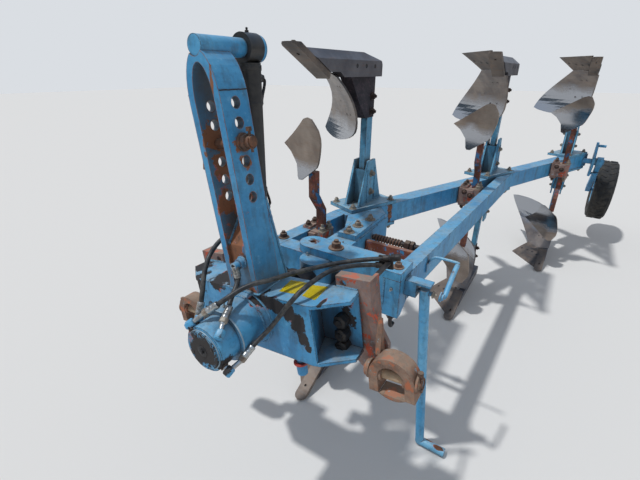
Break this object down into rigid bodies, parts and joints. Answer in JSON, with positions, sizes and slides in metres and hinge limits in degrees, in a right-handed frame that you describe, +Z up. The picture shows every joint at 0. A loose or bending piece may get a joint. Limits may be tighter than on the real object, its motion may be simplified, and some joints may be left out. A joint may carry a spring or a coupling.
{
  "type": "mounted reversible mouldboard plough",
  "caption": "Mounted reversible mouldboard plough with turnover headstock, mirrored upper and lower bodies, skimmers, folding stand and swing-over depth wheel.",
  "frame": {"origin": "on the ground, under the middle of the whole plough's outline", "axes": "+X the direction of travel, +Y the left side, +Z up"},
  "size_m": [4.5667, 1.8054, 1.7608],
  "materials": {
    "blue_paint": "sun-faded gloss with chips",
    "bare_axle": "greased",
    "rusty_primer": "primer worn to rust",
    "rusty_steel": "rusty",
    "worn_steel": "polished by soil",
    "dark_steel": "worn dark",
    "black_paint": "black gloss",
    "bright_steel": "bright",
    "tyre": "matt",
    "hose": "matt"
  },
  "bodies": {
    "frame": {"main_beam": "blue_paint", "side_beam": "blue_paint", "right_arm": "blue_paint", "cross_arm": "blue_paint", "axle_head": "blue_paint", "turnover_axle": "bare_axle", "tie_plate": "blue_paint", "width_strut": "rusty_primer", "width_spindle": "bare_axle", "leg_bases": "blue_paint", "leg_brackets": "blue_paint", "legs_upper": "blue_paint", "legs_lower": "blue_paint", "frogs_upper": "dark_steel", "frogs_lower": "dark_steel", "mouldboards_upper": "worn_steel", "mouldboards_lower": "worn_steel", "shares_upper": "worn_steel", "shares_lower": "worn_steel", "points_upper": "worn_steel", "points_lower": "worn_steel", "landsides_upper": "dark_steel", "landsides_lower": "dark_steel", "skimmer_clamps": "rusty_primer", "skimmer_stalks_upper": "rusty_primer", "skimmer_stalks_lower": "rusty_primer", "skimmer_boards_upper": "worn_steel", "skimmer_boards_lower": "worn_steel", "stand_holder": "blue_paint", "wheel_bracket": "blue_paint"},
    "headstock": {"cross_beam": "blue_paint", "swivel": "blue_paint", "tower": "blue_paint", "tower_braces": "blue_paint", "top_bar": "blue_paint", "link_plates": "rusty_primer", "hitch_arches": "rusty_steel", "hitch_pins": "bright_steel", "top_link_pin": "rusty_steel", "hose_guide": "blue_paint", "hose_lines": "hose", "hose_fittings": "bright_steel"},
    "cylinder_barrel": {"cylinder_barrel": "black_paint"},
    "cylinder_rod": {"cylinder_rod": "bright_steel"},
    "stand": {"stand_leg": "blue_paint"},
    "wheel_arm": {"wheel_arm": "blue_paint"},
    "wheel": {"wheel_rim": "blue_paint", "wheel_tyre": "tyre"}
  },
  "joints": [
    {"name": "headstock_turn", "type": "hinge", "parent": "frame", "child": "headstock", "pos_m": [2.0194, -0.3465, 0.88], "axis": [1, 0, 0], "range_deg": [-16, 180]},
    {"name": "cylinder_swing", "type": "hinge", "parent": "headstock", "child": "cylinder_barrel", "pos_m": [1.8694, -0.4641, 1.71678], "axis": [1, 0, 0], "range_deg": [-1.1, 19.4]},
    {"name": "cylinder_stroke", "type": "slide", "parent": "cylinder_barrel", "child": "cylinder_rod", "axis": [0, -0.0209, -0.9998], "range_m": [-0.0745, 0.1705]},
    {"name": "stand_fold", "type": "hinge", "parent": "frame", "child": "stand", "pos_m": [1.5994, 0.1055, 0.888], "axis": [0, 1, 0], "range_deg": [0, 88]},
    {"name": "wheel_arm_swing", "type": "hinge", "parent": "frame", "child": "wheel_arm", "pos_m": [-1.5106, 0.6365, 0.88], "axis": [0, 1, 0], "range_deg": [0, 76]},
    {"name": "wheel_spin", "type": "hinge", "parent": "wheel_arm", "child": "wheel", "pos_m": [-1.9834, 0.8265, 0.5106], "axis": [0, 1, 0], "continuous": true}
  ]
}
